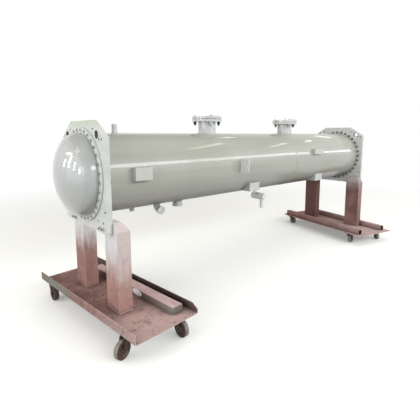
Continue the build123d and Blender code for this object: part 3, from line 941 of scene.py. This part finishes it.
nozzleBolts = {
    "circle": 0.120,
    "turns": (67.5, 157.5, 247.5, 337.5),
    "paintedTurn": 247.5,
    "coverTop": 0.0236,
    "flangeUnder": 0.0256,
    "boltRadius": 0.010,
    "flats": 0.030,
    "headHeight": 0.0125,
    "headSpin": 0.7,
    "nutHeight": 0.017,
    "nutSpin": 0.4,
    "endBelow": 0.034,
    "pitch": 0.0025,
    "threads": 6,
}


def makeNozzleBolts(side):
    values = nozzleBolts
    coverLow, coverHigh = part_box(side + "_nozzle_cover")
    middleX = (coverLow.x + coverHigh.x) / 2
    painted, bareAndShaded = newMesh(), newMesh()
    for index, degrees in enumerate(values["turns"]):
        x = middleX + values["circle"] * cos(radians(degrees))
        y = axisY + values["circle"] * sin(radians(degrees))
        topZ, underZ = coverLow.z + values["coverTop"], coverLow.z - values["flangeUnder"]
        top = placeAlong((x, y, topZ), (0, 0, 1), index * values["headSpin"])
        under = placeAlong((x, y, underZ), (0, 0, -1), index * values["nutSpin"])
        addNut(painted, top, values["flats"], values["headHeight"])
        # Under the flange all but one nut and bolt end are dark steel: bare steel, which also stands for
        # painted shade under the flange
        parts = painted if degrees == values["paintedTurn"] else bareAndShaded
        addNut(parts, under, values["flats"], values["nutHeight"])
        addStud(parts, under, values["boltRadius"], values["endBelow"], values["pitch"], values["threads"])
    addPiece(side + "CoverNuts", painted, fittingPaint)
    addPiece(side + "CoverBolts", bareAndShaded, darkSteel)


# Bolts that hold the tube sheets to the posts, by their y at each end

footBolts = {
    "left": (-0.227, -0.278, 0.208, 0.259),
    "right": (-0.171, -0.226, 0.244, 0.299),
    "fromBottom": 0.031,
    "flats": 0.022,
    "headHeight": 0.008,
    "headSpin": 0.2,
    "washerRadius": 0.01364,
    "washerHeight": 0.002,
    "washerSides": 24,
    "studRadius": 0.006,
    "endLength": 0.014,
    "pitch": 0.002,
    "threads": 3,
}


def makeFootBolts(side):
    values = footBolts
    sheetLow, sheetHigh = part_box(side + "_tube_sheet")
    outerX, outward = (sheetLow.x, -1) if side == "left" else (sheetHigh.x, 1)
    washer = [(values["washerRadius"], 0), (values["washerRadius"], values["washerHeight"])]
    nuts, tips = newMesh(), newMesh()
    z = sheetLow.z + values["fromBottom"]
    for y in values[side]:
        place = placeAlong((outerX, y, z), (outward, 0, 0), values["headSpin"])
        addTurned(nuts, washer, place, values["washerSides"])
        onWasher = place @ Matrix.Translation((0, 0, values["washerHeight"]))
        addNut(nuts, onWasher, values["flats"], values["headHeight"])
        addStud(tips, onWasher, values["studRadius"], values["endLength"], values["pitch"], values["threads"])
    addPiece(side + "FootNuts", nuts, fittingPaint)
    addPiece(side + "FootBoltEnds", tips, darkSteel)


# Weld beads, by radius and ripple. Those at the shell's ends lie a little in from its faces, and the girth
# bead's middle is sunk under the surface.

weldBeads = {
    "step": 0.006,
    "lift": 0.001,
    "shell": {"radius": 0.006, "ripple": 0.12, "in": 0.002},
    "girth": {"radius": 0.0045, "ripple": 0.12, "sunk": 0.002, "fromLeft": 2.290},
    "nozzle": {"radius": 0.0095, "ripple": 0.14, "pipe": 0.1683},
    "stub": {"radius": 0.004, "ripple": 0.15, "step": 0.004},
    "post": {"radius": 0.005, "ripple": 0.15},
    "smooth": 60.0,
}
# Up or down from the shell, and the pipe's diameter where the fitting is wider than its pipe
weldedStubs = {
    "vent_stub": (1, None),
    "drain_plug": (-1, None),
    "capped_stub": (-1, 0.0889),
    "drain_elbow": (-1, 0.0603),
}


# An even number of points, because every second ripple differs
def pointTurns(radius, step):
    count = int(2 * pi * radius / step)
    count += count % 2
    return [2 * pi * i / count for i in range(count)]


def ringPoints(x, radius, step):
    return [Vector((x, axisY + radius * sin(turn), axisZ + radius * cos(turn)))
            for turn in pointTurns(radius, step)]


# The line where an upright pipe meets the shell
def saddlePoints(x, radius, step, upward=1):
    points = []
    for turn in pointTurns(radius, step):
        across = radius * sin(turn)
        rise = sqrt(shellRadius ** 2 - across ** 2)
        points.append(Vector((x + radius * cos(turn), axisY + across, axisZ + upward * rise)))
    return points


def makeVesselWelds():
    values = weldBeads
    step, lift = values["step"], values["lift"]
    shell, girth, nozzle, stub = values["shell"], values["girth"], values["nozzle"], values["stub"]
    parts = newMesh()
    for x in (leftFace + shell["in"], rightFace - shell["in"]):
        addBead(parts, ringPoints(x, shellRadius + lift, step), shell["radius"], shell["ripple"])
    girthPoints = ringPoints(leftFace + girth["fromLeft"], shellRadius - girth["sunk"], step)
    addBead(parts, girthPoints, girth["radius"], girth["ripple"])
    for side in ("left", "right"):
        low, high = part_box(side + "_nozzle")
        points = saddlePoints((low.x + high.x) / 2, nozzle["pipe"] / 2 + lift, step)
        addBead(parts, points, nozzle["radius"], nozzle["ripple"])
    for name, (upward, pipe) in weldedStubs.items():
        low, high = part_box(name)
        pipe = pipe or high.x - low.x
        points = saddlePoints((low.x + high.x) / 2, pipe / 2 + lift, stub["step"], upward)
        addBead(parts, points, stub["radius"], stub["ripple"])
    addPiece("vesselWelds", parts, weldPaint, values["smooth"])


def rectanglePoints(low, high, z, step):
    corners = [Vector((x, y, z)) for x, y in
               ((low.x, low.y), (high.x, low.y), (high.x, high.y), (low.x, high.y))]
    points = []
    for i, start in enumerate(corners):
        end = corners[(i + 1) % len(corners)]
        count = max(2, int((end - start).length / step))
        points += [start.lerp(end, k / count) for k in range(count)]
    return points


def makePostWelds():
    values = weldBeads
    parts = newMesh()
    for side in ("left", "right"):
        for place in ("front", "back"):
            low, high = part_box(f"{side}_{place}_post")
            points = rectanglePoints(low, high, low.z + values["lift"], values["step"])
            addBead(parts, points, values["post"]["radius"], values["post"]["ripple"])
    addPiece("postWelds", parts, nodeFinish["right_deck"], values["smooth"])


print("studs and bolts")
for side in ("left", "right"):
    makeBonnetStuds(side)
    makeNozzleBolts(side)
    makeFootBolts(side)
print("welds")
makeVesselWelds()
makePostWelds()


# Studio: pale floor, soft lamps and a white surround

white = (1.0, 1.0, 1.0, 1.0)

studio = {
    "floorHalf": 40.0,
    "floorColour": (0.92, 0.92, 0.91, 1.0),
    "floorGlow": 0.2,
    "floorBounce": (0.17, 0.165, 0.155, 1.0),
    "fadeStart": 3.0,
    "fadeEnd": 7.5,
    "skyLow": (0.52, 0.52, 0.52, 1.0),
    "skyHigh": (0.44, 0.43, 0.40, 1.0),
    "skyRise": (0.15, 0.6),
    "ceiling": (0.34, 0.33, 0.30, 1.0),
    "ceilingRise": (0.42, 0.62),
}


# 1 where the eye, a mirror or glass looks at the backdrop, 0 where it only gives light
def showsBackdrop(tree):
    path = tree.nodes.new("ShaderNodeLightPath").outputs
    seen = addMath(tree, "MAXIMUM", path["Is Camera Ray"], path["Is Glossy Ray"])
    return addMath(tree, "MAXIMUM", seen, path["Is Transmission Ray"])


def addShader(tree, kind, **inputs):
    return addNode(tree, "ShaderNode" + kind, **inputs).outputs[0]


def makeFloor():
    values = studio
    half = values["floorHalf"]
    material = bpy.data.materials.new("studioFloor")
    material.use_nodes = True
    tree = material.node_tree
    tree.nodes.clear()
    place = tree.nodes.new("ShaderNodeTexCoord").outputs["Object"]
    far = addRamp(tree, addVector(tree, "LENGTH", place), values["fadeStart"], values["fadeEnd"])
    pale = addShader(tree, "BsdfDiffuse", Color=values["floorColour"])
    glow = addShader(tree, "Emission", Color=white, Strength=values["floorGlow"])
    near = addShader(tree, "AddShader", i0=pale, i1=glow)
    away = addShader(tree, "Emission", Color=white, Strength=1.0)
    seen = addShader(tree, "MixShader", i0=far, i1=near, i2=away)
    bounce = addShader(tree, "BsdfDiffuse", Color=values["floorBounce"])
    mixed = addShader(tree, "MixShader", i0=showsBackdrop(tree), i1=bounce, i2=seen)
    addNode(tree, "ShaderNodeOutputMaterial", Surface=mixed)
    corners = [(-half, -half, 0), (half, -half, 0), (half, half, 0), (-half, half, 0)]
    floor = makeObject("studioFloor", (corners, [(0, 1, 2, 3)]), material)


def makeWorld():
    values = studio
    world = bpy.data.worlds.new("studioWorld")
    bpy.context.scene.world = world
    world.use_nodes = True
    tree = world.node_tree
    tree.nodes.clear()
    height = splitVector(tree, tree.nodes.new("ShaderNodeTexCoord").outputs["Generated"])["Z"]
    sky = addMix(tree, addRamp(tree, height, *values["skyRise"]), values["skyLow"], values["skyHigh"])
    light = addShader(tree, "Background", Color=sky, Strength=1.0)
    backdrop = addMix(tree, addRamp(tree, height, *values["ceilingRise"]), white, values["ceiling"])
    seen = addShader(tree, "Background", Color=backdrop, Strength=1.0)
    mixed = addShader(tree, "MixShader", i0=showsBackdrop(tree), i1=light, i2=seen)
    addNode(tree, "ShaderNodeOutputWorld", Surface=mixed)


def addLamp(name, width, height, power, colour):
    lamp = bpy.data.lights.new(name, "AREA")
    lamp.shape = "RECTANGLE"
    lamp.size = width
    lamp.size_y = height
    lamp.energy = power
    lamp.color = colour
    obj = bpy.data.objects.new(name, lamp)
    obj.visible_camera = False
    bpy.context.scene.collection.objects.link(obj)
    return obj


# A long lamp from start to end, facing a way square to its length
def addRowLamp(name, start, end, height, radiance, colour, towards):
    start, end, towards = Vector(start), Vector(end), Vector(towards)
    length = (end - start).length
    along = (end - start).normalized()
    back = -(towards - along * towards.dot(along)).normalized()
    lamp = addLamp(name, length, height, radiance * pi * length * height, colour)
    axes = Matrix((along, back.cross(along), back)).transposed().to_4x4()
    lamp.matrix_world = Matrix.Translation((start + end) / 2) @ axes


# Broad soft lamps: name, place, target, width, height, power, colour
softLamps = (
    ("topSoftbox", (0.0, -1.0, 7.0), (0.0, 0.0, 1.0), 8.0, 5.0, 70.0, (1.0, 0.98, 0.94)),
    ("frontFill", (1.5, -7.5, 1.9), (1.5, 0.0, 1.0), 15.0, 2.4, 91.0, (0.97, 1.0, 1.0)),
    ("leftFill", (-5.3, -0.6, 1.5), (0.0, 0.0, 0.9), 6.0, 2.6, 43.0, (0.98, 1.0, 1.0)),
)
# The window row along the front: its ends as (x, z), and how bright each length is
windowRow = {
    "y": -5.2,
    "height": 0.95,
    "colour": (0.96, 1.0, 1.0),
    "towards": (0.0, 1.0, -0.4),
    "lengths": (((-3.0, 3.12), (3.0, 3.30), 9.2), ((3.0, 3.32), (8.4, 3.60), 6.8),
                ((8.4, 3.58), (13.0, 3.24), 5.5)),
}
# Windows at the left end: middle y and z, width and height
leftWindows = {
    "x": -7.2,
    "radiance": 10.0,
    "colour": (0.97, 1.0, 1.0),
    "towards": (1.0, 0.0, 0.0),
    "panes": ((4.6, 2.4, 0.8, 1.1), (2.8, 2.7, 0.6, 1.9), (4.2, 3.9, 2.6, 0.35), (1.35, 2.2, 0.3, 1.2),
              (0.2, 1.7, 0.5, 1.1), (-0.9, 2.0, 0.22, 1.0), (-1.9, 2.35, 1.4, 0.28), (-0.95, 2.15, 0.7, 0.2),
              (-2.1, 1.7, 0.3, 1.0)),
}
# Warm tube lamps under the ceiling: both ends as (x, y), then how bright each is
tubeLamps = {
    "z": 6.0,
    "width": 0.42,
    "colour": (1.0, 0.93, 0.76),
    "towards": (0.0, 0.0, -1.0),
    "lengths": (((2.96, -2.32), (3.75, -0.43), 4.2), ((4.3, 2.2), (5.1, 2.9), 4.2),
                ((6.73, -2.75), (6.82, -1.04), 4.2), ((8.15, -0.9), (8.2, 0.25), 4.2),
                ((10.1, 1.34), (10.7, 3.55), 4.2), ((-5.91, 1.84), (-7.41, 0.35), 14.0),
                ((-8.2, 2.92), (-9.33, 1.68), 16.0)),
}


def makeLamps():
    for name, place, target, width, height, power, colour in softLamps:
        lamp = addLamp(name, width, height, power, colour)
        lamp.location = place
        lamp.rotation_euler = (Vector(target) - Vector(place)).to_track_quat("-Z", "Y").to_euler()
    values = windowRow
    for index, (start, end, radiance) in enumerate(values["lengths"]):
        addRowLamp(f"windowRow{index}", (start[0], values["y"], start[1]), (end[0], values["y"], end[1]),
                   values["height"], radiance, values["colour"], values["towards"])
    values = leftWindows
    for index, (y, z, width, height) in enumerate(values["panes"]):
        addRowLamp(f"leftWindow{index}", (values["x"], y - width / 2, z), (values["x"], y + width / 2, z),
                   height, values["radiance"], values["colour"], values["towards"])
    values = tubeLamps
    for index, (start, end, radiance) in enumerate(values["lengths"]):
        addRowLamp(f"tubeLamp{index}", (*start, values["z"]), (*end, values["z"]), values["width"], radiance,
                   values["colour"], values["towards"])


cameraView = {
    "fromShellEnd": (-1.018, -2.5006, 1.414),
    "turn": 41.95,
    "tilt": 7.92,
    "focalPixels": 340.3,
    "imagePixels": 420.0,
    "centreRow": 182.0,
    "sensorWidth": 36.0,
    "farthest": 200.0,
}


def makeCamera():
    values = cameraView
    data = bpy.data.cameras.new("camera")
    data.sensor_width = values["sensorWidth"]
    data.lens = values["sensorWidth"] * values["focalPixels"] / values["imagePixels"]
    data.shift_y = (values["centreRow"] - values["imagePixels"] / 2) / values["imagePixels"]
    data.clip_end = values["farthest"]
    camera = bpy.data.objects.new("camera", data)
    x, y, z = values["fromShellEnd"]
    camera.location = (leftFace + x, axisY + y, z)
    camera.rotation_euler = (radians(90 - values["tilt"]), 0, radians(-values["turn"]))
    bpy.context.scene.collection.objects.link(camera)
    bpy.context.scene.camera = camera


print("studio")
makeFloor()
makeWorld()
makeLamps()
makeCamera()
bpy.context.scene.view_settings.view_transform = "Standard"
